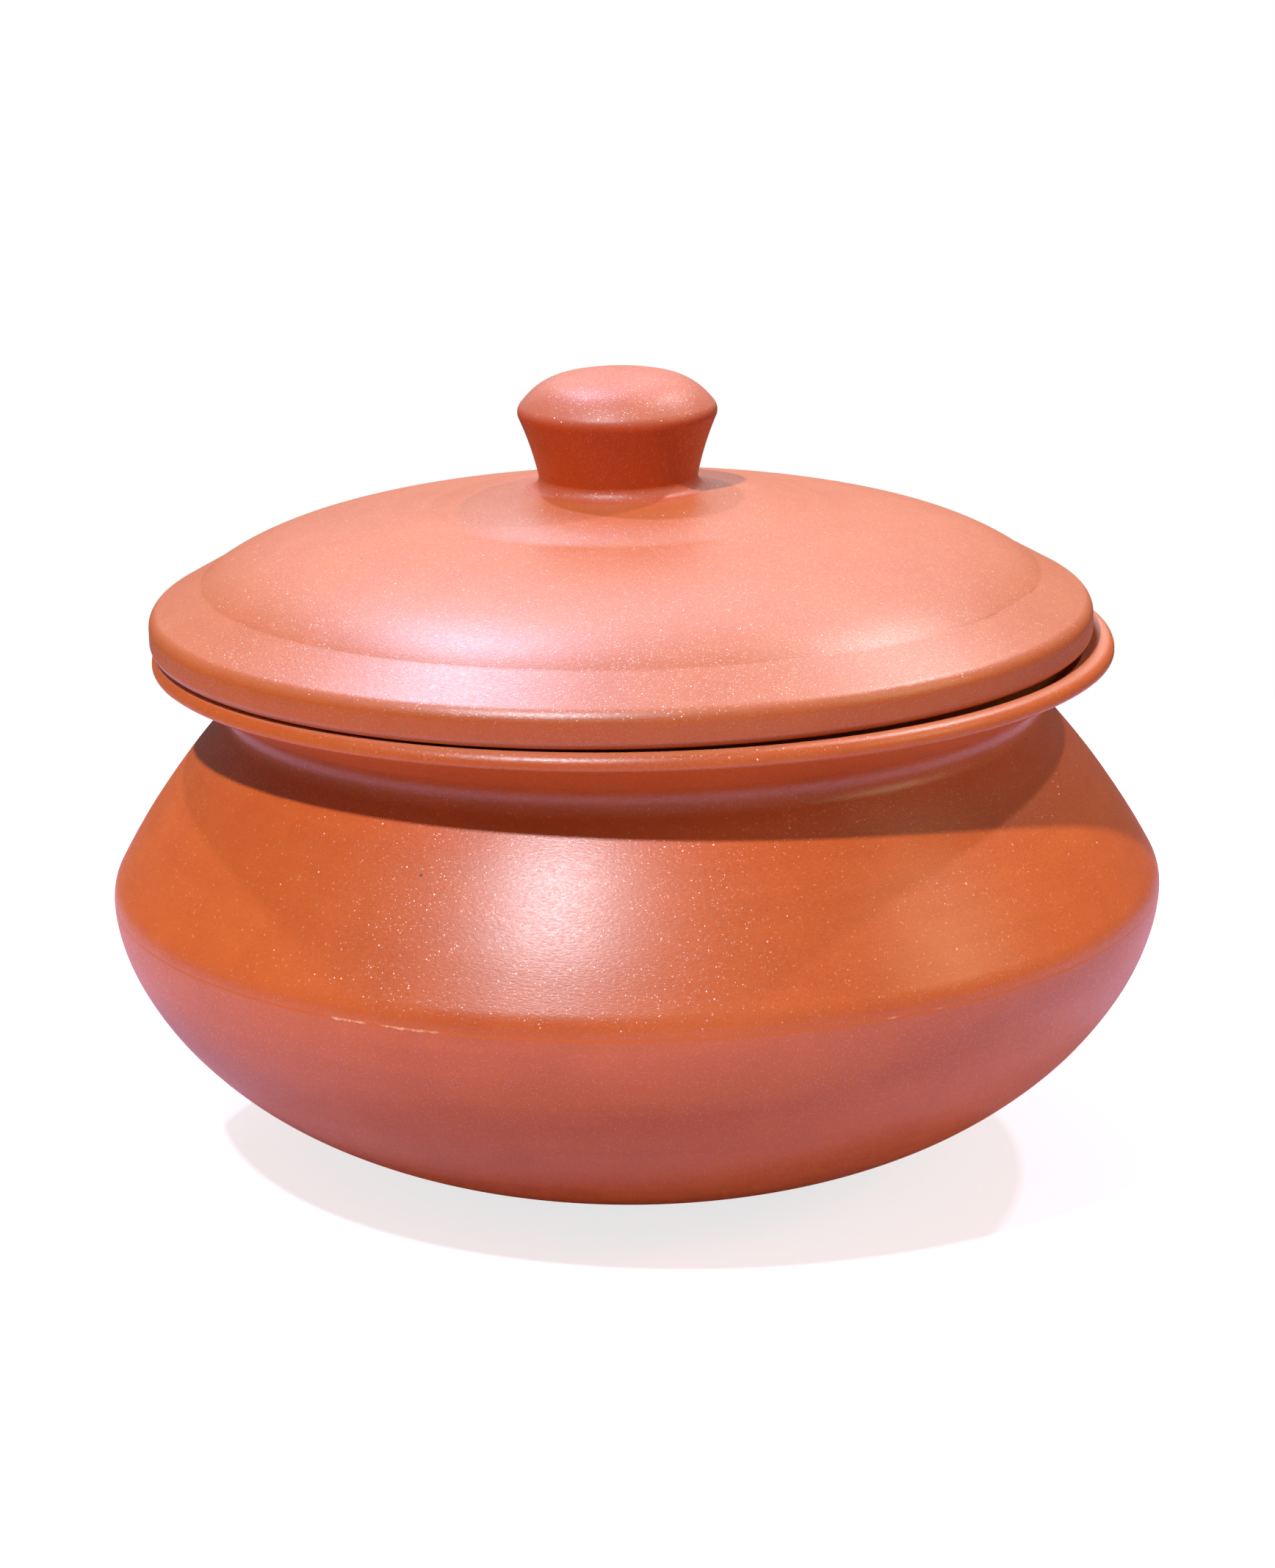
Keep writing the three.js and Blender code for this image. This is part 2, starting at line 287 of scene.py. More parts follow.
def bowed_run(start, end, bow, count):
    """Parabola through both ends whose middle stands bow to the right of the straight way."""
    start, end = np.array(start, float), np.array(end, float)
    way = (end - start) / np.linalg.norm(end - start)
    middle = (start + end) / 2 + 2 * bow * np.array([way[1], -way[0]])
    share = np.linspace(0, 1, count)[:, None]
    return (1 - share) ** 2 * start + 2 * share * (1 - share) * middle + share**2 * end


def drawn_run(start, leave, arrive, end, count):
    """Cubic curve that leaves its start towards one point and comes to its end from another."""
    share = np.linspace(0, 1, count)[:, None]
    rest = 1 - share
    ways = (rest**3, 3 * share * rest**2, 3 * share**2 * rest, share**3)
    points = (start, leave, arrive, end)
    return sum(way * np.array(point, float) for way, point in zip(ways, points))


def section(*runs):
    """Runs set end to end, leaving out each point that repeats the one before it."""
    points = np.concatenate(runs)
    step = np.linalg.norm(np.diff(points, axis=0), axis=1)
    return points[np.concatenate([[True], step > REPEATED_POINT])]


def mark_inside(outside, inside):
    """0 for each point of the outside and 1 for each point of the inside."""
    return np.concatenate([np.zeros(len(outside)), np.ones(len(inside))])


# Bowl

SEAM_TOP = BOWL_DEPTH + SEAM_THICKNESS


def bowl_depth_share(radius_share):
    """Superellipse: one less radius share to the side power, and of that the floor power's root."""
    return np.maximum(0, 1 - radius_share**BOWL_SIDE_POWER) ** (1 / BOWL_FLOOR_POWER)


def bowl_run(inner_radius, radius, full_depth, count):
    """Superellipse from an inner radius to the seam, spaced by a turning angle for even steps."""
    first = math.asin((inner_radius / radius) ** (BOWL_SIDE_POWER / 2))
    angle = np.linspace(first, math.pi / 2, count)
    share = np.minimum(1, np.sin(angle) ** (2 / BOWL_SIDE_POWER))
    return np.column_stack([radius * share, BOWL_DEPTH - full_depth * bowl_depth_share(share)])


def bowl_section():
    """Flat base, superellipse outside, seam face, superellipse inside; its inside is marked."""
    pole_depth = BOWL_DEPTH / bowl_depth_share(BASE_FLAT_RADIUS / BELLY_RADIUS)
    outside = section(
        straight_run((0, 0), (BASE_FLAT_RADIUS, 0), 14),
        bowl_run(BASE_FLAT_RADIUS, BELLY_RADIUS, pole_depth, 120),
    )
    inside = bowl_run(0, BELLY_RADIUS - WALL, BOWL_DEPTH - BOWL_FLOOR, 90)[::-1]
    return np.concatenate([outside, inside]), mark_inside(outside, inside)


# Shoulder and rim: centres of the rounds, as in the part

belly_centre = np.array([BELLY_RADIUS - BELLY_ROUND, SEAM_TOP])
foot_lean = math.radians(SHOULDER_FOOT_LEAN)
bow_reach = SHOULDER_BOW - BELLY_ROUND
bow_centre = belly_centre - bow_reach * np.array([math.cos(foot_lean), math.sin(foot_lean)])
neck_reach = NECK_RADIUS + NECK_ROUND - bow_centre[0]
neck_lean = math.degrees(math.acos(neck_reach / (SHOULDER_BOW + NECK_ROUND)))
neck_height = bow_centre[1] + neck_reach * math.tan(math.radians(neck_lean))
neck_centre = np.array([NECK_RADIUS + NECK_ROUND, neck_height])
flare_turn = 90 + FLARE_SLOPE
flare_rise = math.tan(math.radians(FLARE_SLOPE))
flare_start = round_run(neck_centre, NECK_ROUND, flare_turn, flare_turn, 1)[0]
throat_radius = NECK_RADIUS - WALL
seat_inner_radius = throat_radius + THROAT_ROUND
seat_radius = seat_inner_radius + 2 * LID_PLAY + SEAT_BEARING
rim_radius = seat_radius + LIP_WIDTH


def underside_height(radius):
    """Straight line: the flare's start plus the way out times the flare's rise."""
    return flare_start[1] + (radius - flare_start[0]) * flare_rise


lip_lower_radius = rim_radius - LIP_LOWER_ROUND
lip_lower_lift = LIP_LOWER_ROUND / math.cos(math.radians(FLARE_SLOPE))
lip_lower_centre = np.array([lip_lower_radius, underside_height(lip_lower_radius) + lip_lower_lift])
lip_top_centre = np.array([rim_radius - LIP_TOP_ROUND, lip_lower_centre[1] + LIP_FACE])
crest_height = lip_top_centre[1] + LIP_TOP_ROUND
seat_height = underside_height(seat_radius) + SEAT_THICKNESS


def lip_under_normal():
    """Unit normal of the rim's underside, pointing down and out."""
    turn = math.radians(FLARE_SLOPE - 90)
    return np.array([math.cos(turn), math.sin(turn)])


def funnel_touch():
    """Angle on the lip's top round where a straight line from the seat's outer edge touches it."""
    back = np.array([seat_radius, seat_height]) - lip_top_centre
    toward = math.atan2(back[1], back[0]) % (2 * math.pi)
    return math.degrees(toward - math.acos(LIP_TOP_ROUND / np.linalg.norm(back)))


def shoulder_section():
    """Tangent rounds up the outside, rolled lip, funnel, lid seat, and rounds down the inside."""
    lip_top = round_run(lip_top_centre, LIP_TOP_ROUND, 0, funnel_touch(), 30)
    outside = section(
        round_run(belly_centre, BELLY_ROUND, 0, SHOULDER_FOOT_LEAN, 22),
        round_run(bow_centre, SHOULDER_BOW, SHOULDER_FOOT_LEAN, neck_lean, 64),
        round_run(neck_centre, NECK_ROUND, 180 + neck_lean, flare_turn, 32),
        straight_run(flare_start, lip_lower_centre + LIP_LOWER_ROUND * lip_under_normal(), 16),
        round_run(lip_lower_centre, LIP_LOWER_ROUND, FLARE_SLOPE - 90, 0, 12),
        lip_top,
    )
    inside = section(
        straight_run(lip_top[-1], (seat_radius, seat_height), 8)[1:],
        straight_run((seat_radius, seat_height), (seat_inner_radius, seat_height), 8),
        round_run((seat_inner_radius, seat_height - THROAT_ROUND), THROAT_ROUND, 90, 180, 14),
        round_run(neck_centre, NECK_ROUND + WALL, 180, 180 + neck_lean, 18),
        round_run(bow_centre, SHOULDER_BOW - WALL, neck_lean, SHOULDER_FOOT_LEAN, 46),
        round_run(belly_centre, BELLY_ROUND - WALL, SHOULDER_FOOT_LEAN, 0, 10),
    )
    return np.concatenate([outside, inside]), mark_inside(outside, inside)


# Lid and the foot of its knob: heights of the lid count from the underside of its brim

brim_radius = rim_radius - BRIM_INSET
crease_radius = brim_radius - CREASE_INSET
ring_radius = seat_radius - LID_PLAY
ring_bottom = seat_height + FIT_GAP - (crest_height + BRIM_GAP)
hollow_radius = ring_radius - RING_WIDTH
brim_top_centre = (brim_radius - BRIM_TOP_ROUND, BRIM_EDGE - BRIM_TOP_ROUND)
brim_top = round_run(brim_top_centre, BRIM_TOP_ROUND, 0, 90 - BRIM_SLOPE, 24)
brim_rise = math.tan(math.radians(BRIM_SLOPE))
crease_height = brim_top[-1, 1] + (brim_top[-1, 0] - crease_radius) * brim_rise
hollow_height = crease_height - LID_WALL
skirt_rise = math.tan(math.radians(KNOB_FOOT_SLOPE))
knob_skirt_top = KNOB_FOOT_EDGE + KNOB_FOOT_SKIRT * skirt_rise
knob_waist_height = knob_skirt_top + KNOB_FOOT_HOLLOW * math.cos(math.radians(KNOB_FOOT_SLOPE))
foot_hollow_centre = (KNOB_WAIST_RADIUS + KNOB_FOOT_HOLLOW, knob_waist_height)
foot_hollow = round_run(foot_hollow_centre, KNOB_FOOT_HOLLOW, 270 - KNOB_FOOT_SLOPE, 180, 24)
knob_foot_radius = foot_hollow[0, 0] + KNOB_FOOT_SKIRT
knob_seat_radius = knob_foot_radius + KNOB_SLIP_BEAD + SEAT_MARGIN
foot_edge_height = KNOB_SLIP + KNOB_FOOT_EDGE
knob_seat_depth = foot_edge_height - (KNOB_SLIP_BEAD + SEAT_MARGIN) * skirt_rise


def dome_rise(share):
    """Rise above the crease: one, less a gentle square fall, less a steep fall near the edge."""
    steep = (1 - DOME_SPREAD) * share**DOME_EDGE_POWER
    return DOME_RISE * (1 - DOME_SPREAD * share**2 - steep)


def boss_rise(radius):
    """Low boss under the knob: one less radius share to its power, and of that the edge power."""
    return BOSS_RISE * np.maximum(0, 1 - (radius / BOSS_RADIUS) ** BOSS_POWER) ** BOSS_EDGE_POWER


def dome_run(from_radius, to_radius, edge_radius, edge_height, count):
    """Dome between two radii, with steps that shorten towards its edge as a sine does."""
    share = np.sin(np.linspace(0, math.pi / 2, count))
    radius = from_radius + (to_radius - from_radius) * share
    return np.column_stack([radius, edge_height + dome_rise(radius / edge_radius)])


dome_at_knob = crease_height + dome_rise(knob_seat_radius / crease_radius)
knob_edge_height = dome_at_knob + boss_rise(knob_seat_radius)
knob_seat_height = knob_edge_height - knob_seat_depth


def lid_section():
    """Hollow under the dome, seat ring, brim with a thick edge, crease, dome, boss, knob's seat."""
    dome = dome_run(knob_seat_radius, crease_radius, crease_radius, crease_height, 130)[::-1]
    dome[:, 1] += boss_rise(dome[:, 0])
    chamfer_height = ring_bottom + RING_CHAMFER
    brim_lower_radius = brim_radius - BRIM_LOWER_ROUND
    inside = section(
        dome_run(0, hollow_radius, hollow_radius, hollow_height, 70),
        straight_run((hollow_radius, hollow_height), (hollow_radius, chamfer_height), 12),
        round_run((hollow_radius + RING_CHAMFER, chamfer_height), RING_CHAMFER, 180, 270, 8),
        round_run((ring_radius - RING_CHAMFER, chamfer_height), RING_CHAMFER, 270, 360, 8),
        straight_run((ring_radius, chamfer_height), (ring_radius, 0), 6),
        straight_run((ring_radius, 0), (brim_lower_radius, 0), 10),
    )
    outside = section(
        round_run((brim_lower_radius, BRIM_LOWER_ROUND), BRIM_LOWER_ROUND, -90, 0, 16)[1:],
        brim_top,
        straight_run(brim_top[-1], (crease_radius, crease_height), 16),
        dome,
        straight_run((knob_seat_radius, knob_edge_height), (knob_seat_radius, knob_seat_height), 4),
        straight_run((knob_seat_radius, knob_seat_height), (0, knob_seat_height), 10),
    )
    return np.concatenate([inside, outside]), 1 - mark_inside(inside, outside)


def knob_slip_section():
    """Thin disc of slip under the knob, pressed up round its foot in line with skirt and boss."""
    edge = knob_seat_radius - KNOB_SLIP_PLAY
    points = section(
        straight_run((0, 0), (edge, 0), 5),
        straight_run((edge, 0), (edge, knob_seat_depth), 3),
        straight_run((edge, knob_seat_depth), (knob_foot_radius, foot_edge_height), 4),
        straight_run((knob_foot_radius, foot_edge_height), (knob_foot_radius, KNOB_SLIP), 3),
        straight_run((knob_foot_radius, KNOB_SLIP), (0, KNOB_SLIP), 5),
    )
    return points, np.zeros(len(points))


def knob_section():
    """Foot edge, skirt, hollow up to the waist, taper to the rounded grip, curve over the top."""
    grip_centre = (KNOB_RADIUS - KNOB_GRIP_ROUND, KNOB_GRIP_HEIGHT)
    grip = round_run(grip_centre, KNOB_GRIP_ROUND, KNOB_GRIP_START, KNOB_GRIP_TURN, 22)
    turn = math.radians(KNOB_GRIP_TURN)
    bevel = grip[-1] + KNOB_BEVEL_REACH * np.array([-math.sin(turn), math.cos(turn)])
    points = section(
        straight_run((0, 0), (knob_foot_radius, 0), 8),
        straight_run((knob_foot_radius, 0), (knob_foot_radius, KNOB_FOOT_EDGE), 3),
        straight_run((knob_foot_radius, KNOB_FOOT_EDGE), foot_hollow[0], 5),
        foot_hollow,
        bowed_run(foot_hollow[-1], grip[0], -KNOB_TAPER_HOLLOW, 28),
        grip,
        drawn_run(grip[-1], bevel, (KNOB_CROWN_REACH, KNOB_HEIGHT), (0, KNOB_HEIGHT), 60),
    )
    return points, np.zeros(len(points))


# Marks of the hand, as outward shifts from (turn, radius, height, inside)


def swells(turn, height, waves):
    """Low waves round the axis: the sum of rise times cosine of (count * turn + start + twist)."""
    return sum(
        rise * np.cos(count * turn + start + twist * height) for rise, count, start, twist in waves
    )


def ripples(turn, height, rise, pitch, lean):
    """Slow ripple up a wall: rise times the sine of (height / pitch + lean * cosine of turn)."""
    return rise * np.sin(height / pitch + lean * np.cos(turn))


def throwing_rings(turn, height, rise, pitch):
    """Spiral left by the fingers: rise times the sine of (circles of height / pitch + turn)."""
    return rise * np.sin(2 * math.pi * height / pitch + turn)


def pot_hand(turn, radius, height, inside):
    """Swell and ripple of a thrown wall, throwing rings inside, all faded at base and seam."""
    from_seam = height - BOWL_DEPTH - SEAM_THICKNESS / 2
    fade = np.clip(height / BASE_FADE, 0, 1) * (1 - np.exp(-((from_seam / SEAM_FADE) ** 2)))
    outer = swells(turn, height, POT_SWELLS) + ripples(turn, height, *POT_RIPPLE)
    return fade * (outer * (1 - inside) + throwing_rings(turn, height, *POT_RINGS) * inside)


def lid_hand(turn, radius, height, inside):
    """Swell and ripple on the lid's top, and throwing rings in its hollow.

    The foot of the boss is wiped to a softer hollow, most of all on the side away from its left
    front: a bell curve over the radius, times a cosine of the turn.
    """
    away = 0.5 - 0.5 * np.cos(turn - math.radians(BOSS_CRISP_TURN))
    bell = np.exp(-(((radius - BOSS_RADIUS) / WIPED_REACH) ** 2)) * (height > crease_height)
    wiped = (WIPED_LEAST + WIPED_MORE * away) * bell
    outer = swells(turn, height, LID_SWELLS) + ripples(turn, height, *LID_RIPPLE) + wiped
    rings = throwing_rings(turn, height, *LID_RINGS) * (height > LID_RINGS_FROM)
    return outer * (1 - inside) + rings * inside


def crumb_height(turn):
    """Crumbs of slip: a sum of narrow bell curves round the seam, each with its own height."""
    place, spread, height = np.array(CRUMBS).T
    away = (turn[:, None] - np.radians(place) + math.pi) % (2 * math.pi) - math.pi
    return (height * np.exp(-((away / np.radians(spread)) ** 2))).sum(axis=1)


# Surfaces


def linked(name, data):
    """A new object of this name around its data, put into the scene."""
    made = bpy.data.objects.new(name, data)
    bpy.context.scene.collection.objects.link(made)
    return made


def smooth_piece(name, vertices, faces, **marks):
    """A smooth piece from points in millimetres, with the edges sharp where its faces turn far.

    Each mark is kept as an attribute of the points: a vector where it has columns, else a number.
    """
    mesh = bpy.data.meshes.new(name)
    mesh.from_pydata((vertices * MM).tolist(), [], faces)
    mesh.polygons.foreach_set("use_smooth", np.ones(len(mesh.polygons), bool))
    mesh.set_sharp_from_angle(angle=SHARP_EDGE)
    for label, values in marks.items():
        kind, field = ("FLOAT_VECTOR", "vector") if values.ndim == 2 else ("FLOAT", "value")
        mesh.attributes.new(label, kind, "POINT").data.foreach_set(field, values.ravel())
    mesh.validate()
    return linked(name, mesh)


def ring_quads(lower, upper, turns):
    """Four-sided faces from each lower row of points to its upper row, all the way round."""
    here = np.arange(turns)
    beside = (here + 1) % turns
    low, high = lower[:, None] * turns, upper[:, None] * turns
    corners = [low + here, low + beside, high + beside, high + here]
    return np.stack(corners, axis=-1).reshape(-1, 4).tolist()


def outward_normals(points, on_axis):
    """Unit normals of a section off the axis: the way between neighbours, turned to the right."""
    forward = np.roll(points, -1, axis=0) - np.roll(points, 1, axis=0)
    if on_axis.any():
        forward[0], forward[-1] = points[1] - points[0], points[-1] - points[-2]
    forward = forward[~on_axis] / np.linalg.norm(forward[~on_axis], axis=1)[:, None]
    return np.column_stack([forward[:, 1], -forward[:, 0]])


def spun(name, points, inside, turns, place=(0.0, 0.0), hand=None):
    """A section carried round the axis: (radius * cos, radius * sin, height), section by turn.

    A section that starts or ends on the axis closes there in one point, and any other closes on
    itself. hand gives an outward shift in millimetres along the section's own normal. place is the
    axis along X and the foot's height. Each point keeps its way round and its run along the
    section as the attribute way_round, and whether it is inside as the attribute within.
    """
    on_axis = points[:, 0] < ON_AXIS
    ring = points[~on_axis]
    mark = inside[~on_axis]
    outward = outward_normals(points, on_axis)
    run = np.concatenate([[0], np.cumsum(np.linalg.norm(np.diff(ring, axis=0), axis=1))])

    turn = np.linspace(0, 2 * math.pi, turns, endpoint=False)
    shift = np.zeros((len(ring), turns))
    if hand is not None:
        shift = hand(turn, ring[:, :1], ring[:, 1:], mark[:, None])
    radius = ring[:, :1] + outward[:, :1] * shift
    height = ring[:, 1:] + outward[:, 1:] * shift
    x = place[0] + radius * np.cos(turn)
    y = radius * np.sin(turn)
    vertices = np.stack([x, y, height + place[1]], axis=-1).reshape(-1, 3)
    way = np.broadcast_arrays(np.cos(turn), np.sin(turn), run[:, None] * MM)
    way = np.stack(way, axis=-1).reshape(-1, 3)
    within = np.repeat(mark, turns)

    rows = len(ring)
    lower = np.arange(rows - 1 if on_axis.any() else rows)
    faces = ring_quads(lower, (lower + 1) % rows, turns)
    here = np.arange(turns)
    beside = (here + 1) % turns
    for end, row in ((0, 0), (-1, rows - 1)):
        if on_axis[end]:
            pole = len(vertices)
            vertices = np.vstack([vertices, [[place[0], 0, points[end, 1] + place[1]]]])
            way = np.vstack([way, [[0, 0, run[row] * MM]]])
            within = np.append(within, mark[row])
            edge = row * turns + np.stack([beside, here] if end == 0 else [here, beside], axis=-1)
            faces += np.column_stack([edge, np.full(turns, pole)]).tolist()
    return smooth_piece(name, vertices, faces, way_round=way, within=within)


def ring_piece(name, turn, radius, height, crumb):
    """A ring from radius and height over (round the section, round the axis), closed both ways.

    Each point keeps how much of a crumb of slip it is as the attribute crumb.
    """
    rows, turns = radius.shape
    x, y = radius * np.cos(turn), radius * np.sin(turn)
    vertices = np.stack([x, y, height], axis=-1).reshape(-1, 3)
    lower = np.arange(rows)
    faces = ring_quads(lower, (lower + 1) % rows, turns)
    return smooth_piece(name, vertices, faces, crumb=crumb.ravel())


def seam_slip_surface():
    """Ring of slip: a low bead on the joint's outer edge, swollen to crumbs where slip was left on.

    Across the bead the radius grows by a squared cosine and the height by a sine, and a crumb sags
    by a cosine. Two more rows close the ring along the wall's inside.
    """
    turn = np.linspace(0, 2 * math.pi, SEAM_TURNS, endpoint=False)
    arc = np.linspace(-math.pi / 2, math.pi / 2, SEAM_ACROSS)[:, None]
    crumbs = crumb_height(turn)
    first, second = BEAD_WAVE_COUNTS
    wave = BEAD_WAVE * np.sin(first * turn + BEAD_WAVE_START) * np.cos(second * turn)
    proud = np.minimum(BEAD_RISE + wave + CRUMB_PROUD * crumbs, SEAM_BEAD - BEAD_MARGIN)
    half = SEAM_THICKNESS / 2
    radius = BELLY_RADIUS + proud * np.cos(arc) ** 2
    height = BOWL_DEPTH + half + half * np.sin(arc) - CRUMB_SAG * crumbs * np.cos(arc)
    back_radius = np.full((2, SEAM_TURNS), BELLY_RADIUS - WALL)
    back_height = np.repeat([[SEAM_TOP], [BOWL_DEPTH]], SEAM_TURNS, axis=1)
    radius = np.vstack([radius, back_radius])
    height = np.vstack([height, back_height])
    crumb = np.broadcast_to(np.clip(crumbs / FULL_CRUMB, 0, 1), radius.shape)
    return turn, radius, height, crumb


# Shader groups

MIX_FIRST, MIX_SECOND, MIX_COLOUR = 6, 7, 2  # sockets of a Mix node that carry colours


def put(tree, kind, inputs=None, **settings):
    """Adds a node, gives it its settings, and sets or links its inputs by name or number."""
    made = tree.nodes.new(kind)
    for key, value in settings.items():
        setattr(made, key, value)
    for key, value in (inputs or {}).items():
        if isinstance(value, bpy.types.NodeSocket):
            tree.links.new(value, made.inputs[key])
        else:
            made.inputs[key].default_value = value
    return made


def math_node(tree, operation, *values):
    """One Math node, with numbers or sockets as its inputs; returns its output."""
    return put(tree, "ShaderNodeMath", dict(enumerate(values)), operation=operation).outputs[0]


def vector_node(tree, operation, inputs):
    """One Vector Math node; returns its vector."""
    return put(tree, "ShaderNodeVectorMath", inputs, operation=operation).outputs[0]


def spread_out(tree, value, low, high, to_low=0.0, to_high=1.0):
    """Map Range: low to high becomes to_low to to_high, held at both ends; returns its output."""
    ends = {"From Min": low, "From Max": high, "To Min": to_low, "To Max": to_high}
    return put(tree, "ShaderNodeMapRange", {"Value": value, **ends}).outputs["Result"]


def noise(tree, place, scale, detail, roughness):
    """Noise over a place; returns its value."""
    inputs = {"Vector": place, "Scale": scale, "Detail": detail, "Roughness": roughness}
    return put(tree, "ShaderNodeTexNoise", inputs).outputs["Fac"]


def mixed(tree, share, first, second):
    """Mix of two colours by a share; returns the colour."""
    made = put(tree, "ShaderNodeMix", {"Factor": share}, data_type="RGBA")
    for socket, value in ((made.inputs[MIX_FIRST], first), (made.inputs[MIX_SECOND], second)):
        if isinstance(value, bpy.types.NodeSocket):
            tree.links.new(value, socket)
        else:
            socket.default_value = (*value, 1.0)
    return made.outputs[MIX_COLOUR]


def shader_group(name, inputs, outputs):
    """A new shader group with named sockets; returns it, its input node and its output node."""
    group = bpy.data.node_groups.new(name, "ShaderNodeTree")
    for direction, sockets in (("INPUT", inputs), ("OUTPUT", outputs)):
        for label, kind in sockets:
            group.interface.new_socket(label, in_out=direction, socket_type="NodeSocket" + kind)
    return group, group.nodes.new("NodeGroupInput"), group.nodes.new("NodeGroupOutput")


def kiln_clouds():
    """Soft clouds of firing colour: a wide noise and a finer one, each stretched to 0..1."""
    outputs = [("Cloud", "Float"), ("Blush", "Float")]
    group, given, result = shader_group("kiln_clouds", [("Place", "Vector")], outputs)
    for label, look in (("Cloud", CLOUD_NOISE), ("Blush", BLUSH_NOISE)):
        value = noise(group, given.outputs["Place"], *look)
        group.links.new(spread_out(group, value, *CLOUD_REACH), result.inputs[label])
    return group


def burnish_strokes():
    """Lines left by a burnishing stone: noise, long round the axis and short along the section."""
    outputs = [("Stroke", "Float"), ("Band", "Float")]
    group, given, result = shader_group("burnish_strokes", [("Way Round", "Vector")], outputs)
    for label, scale, look, reach in (
        ("Stroke", STROKE_SCALE, STROKE_NOISE, STROKE_REACH),
        ("Band", BAND_SCALE, BAND_NOISE, BAND_REACH),
    ):
        inputs = {"Vector": given.outputs["Way Round"], "Scale": scale}
        stretched = put(group, "ShaderNodeMapping", inputs).outputs[0]
        value = noise(group, stretched, *look)
        group.links.new(spread_out(group, value, *reach), result.inputs[label])
    return group


def mica_flecks():
    """Flakes of mica in the clay: a share of small random cells, each tilted its own way."""
    vectors = [("Place", "Vector"), ("Normal", "Vector")]
    numbers = [("Per Metre", "Float"), ("Share", "Float"), ("Tilt", "Float")]
    outputs = [("Fleck", "Float"), ("Normal", "Vector")]
    group, given, result = shader_group("mica_flecks", vectors + numbers, outputs)
    inputs = {"Vector": given.outputs["Place"], "Scale": given.outputs["Per Metre"]}
    cells = put(group, "ShaderNodeTexVoronoi", inputs)
    pick = put(group, "ShaderNodeSeparateColor", {"Color": cells.outputs["Color"]})
    chosen = math_node(group, "LESS_THAN", pick.outputs[0], given.outputs["Share"])
    near = math_node(group, "LESS_THAN", cells.outputs["Distance"], FLAKE_REACH)
    fleck = math_node(group, "MULTIPLY", chosen, near)
    draw = put(group, "ShaderNodeTexWhiteNoise", {"Vector": cells.outputs["Position"]})
    lean = vector_node(group, "SUBTRACT", {0: draw.outputs["Color"], 1: (0.5, 0.5, 0.5)})
    amount = math_node(group, "MULTIPLY", fleck, given.outputs["Tilt"])
    tilt = vector_node(group, "SCALE", {0: lean, "Scale": amount})
    tilted = vector_node(group, "ADD", {0: given.outputs["Normal"], 1: tilt})
    group.links.new(fleck, result.inputs["Fleck"])
    group.links.new(vector_node(group, "NORMALIZE", {0: tilted}), result.inputs["Normal"])
    return group


def clay_grit():
    """Rare dark grains of grit: a small share of wide random cells, dark only in the middle."""
    inputs = [("Place", "Vector"), ("Share", "Float")]
    group, given, result = shader_group("clay_grit", inputs, [("Grain", "Float")])
    spots = {"Vector": given.outputs["Place"], "Scale": GRIT_PER_METRE}
    cells = put(group, "ShaderNodeTexVoronoi", spots)
    pick = put(group, "ShaderNodeSeparateColor", {"Color": cells.outputs["Color"]})
    chosen = math_node(group, "LESS_THAN", pick.outputs[1], given.outputs["Share"])
    middle = spread_out(group, cells.outputs["Distance"], *GRIT_EDGE, 1.0, 0.0)
    group.links.new(math_node(group, "MULTIPLY", chosen, middle), result.inputs["Grain"])
    return group


CLOUDS = kiln_clouds()
STROKES = burnish_strokes()
FLECKS = mica_flecks()
GRIT = clay_grit()


# Materials


def new_material(name):
    """A new material with nodes; returns it, its tree and its shader."""
    material = bpy.data.materials.new(name)
    material.use_nodes = True
    return material, material.node_tree, material.node_tree.nodes["Principled BSDF"]


def grouped(tree, group, inputs):
    """A shader group at work in a tree; returns its outputs."""
    return put(tree, "ShaderNodeGroup", inputs, node_tree=group).outputs


def upright_share(tree, vector):
    """The Z of a vector."""
    return put(tree, "ShaderNodeSeparateXYZ", {0: vector}).outputs["Z"]


def painted_sheen_cover(tree, place, upward, blush, slants, hides, above):
    """How far painted sheen hides the clay: pale paint for reflected light, most on an upward
    slant, uneven, and none below a height.

    slants are the upward slants at which the painted sheen starts and at which it is full, and
    above is the height in metres below which there is none.
    """
    lying = spread_out(tree, upward, *slants, 0.0, hides)
    uneven = math_node(tree, "MULTIPLY", lying, spread_out(tree, blush, 0, 1, *SHEEN_UNEVEN))
    left = spread_out(tree, upright_share(tree, place), above, above + SHEEN_EDGE)
    return math_node(tree, "MULTIPLY", uneven, left)


